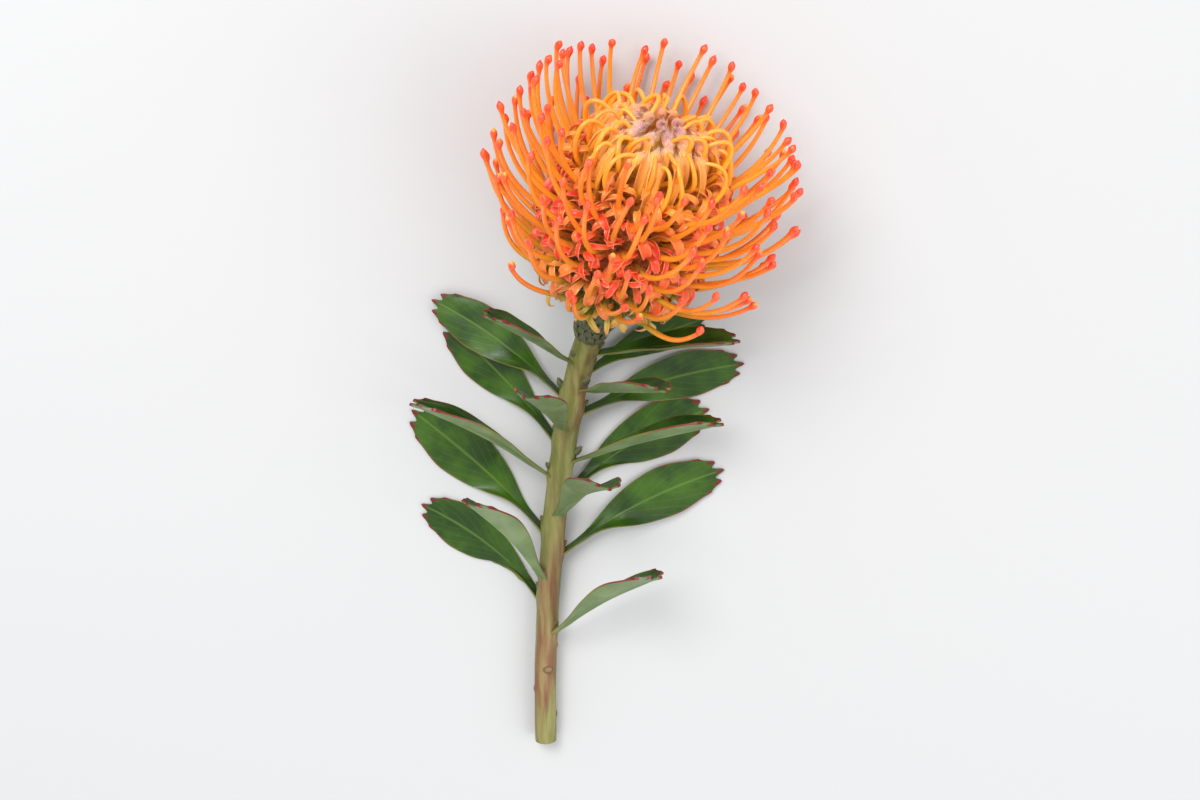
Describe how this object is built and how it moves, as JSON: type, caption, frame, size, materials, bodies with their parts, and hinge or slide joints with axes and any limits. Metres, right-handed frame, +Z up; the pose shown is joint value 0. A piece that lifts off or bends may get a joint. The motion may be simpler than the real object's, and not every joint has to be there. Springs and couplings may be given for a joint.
{
  "type": "pincushion protea flower",
  "caption": "Cut pincushion protea with its leafy stem, lying down: a ball of orange florets with long curved styles round a crown of closed florets, on a scaly involucre.",
  "frame": {"origin": "on the surface that the flower lies on, under the middle of its bounding box", "axes": "+Y from the cut end of the stem towards the flower head, +X to the right seen from above with the head at the top, +Z up"},
  "size_m": [0.1434, 0.2774, 0.1046],
  "materials": {
    "stem_skin": "olive green young bark with a red-brown flush",
    "bract_felt": "dark olive felted scales with grey-brown points",
    "open_floret": "glossy orange styles with scarlet tips, satin red-orange perianth ribbons",
    "closed_floret": "yellow-orange tubes with silky white hairs",
    "leaf_blade": "satin leathery green with red callus teeth"
  },
  "bodies": {
    "root": {"stem": "stem_skin", "involucre": "bract_felt", "open_florets": "open_floret", "closed_florets": "closed_floret", "leaf_01": "leaf_blade", "leaf_02": "leaf_blade", "leaf_03": "leaf_blade", "leaf_04": "leaf_blade", "leaf_05": "leaf_blade", "leaf_06": "leaf_blade", "leaf_07": "leaf_blade", "leaf_08": "leaf_blade", "leaf_09": "leaf_blade", "leaf_10": "leaf_blade", "leaf_11": "leaf_blade", "leaf_12": "leaf_blade", "leaf_13": "leaf_blade", "leaf_14": "leaf_blade", "leaf_15": "leaf_blade", "leaf_16": "leaf_blade", "leaf_17": "leaf_blade"}
  },
  "joints": []
}
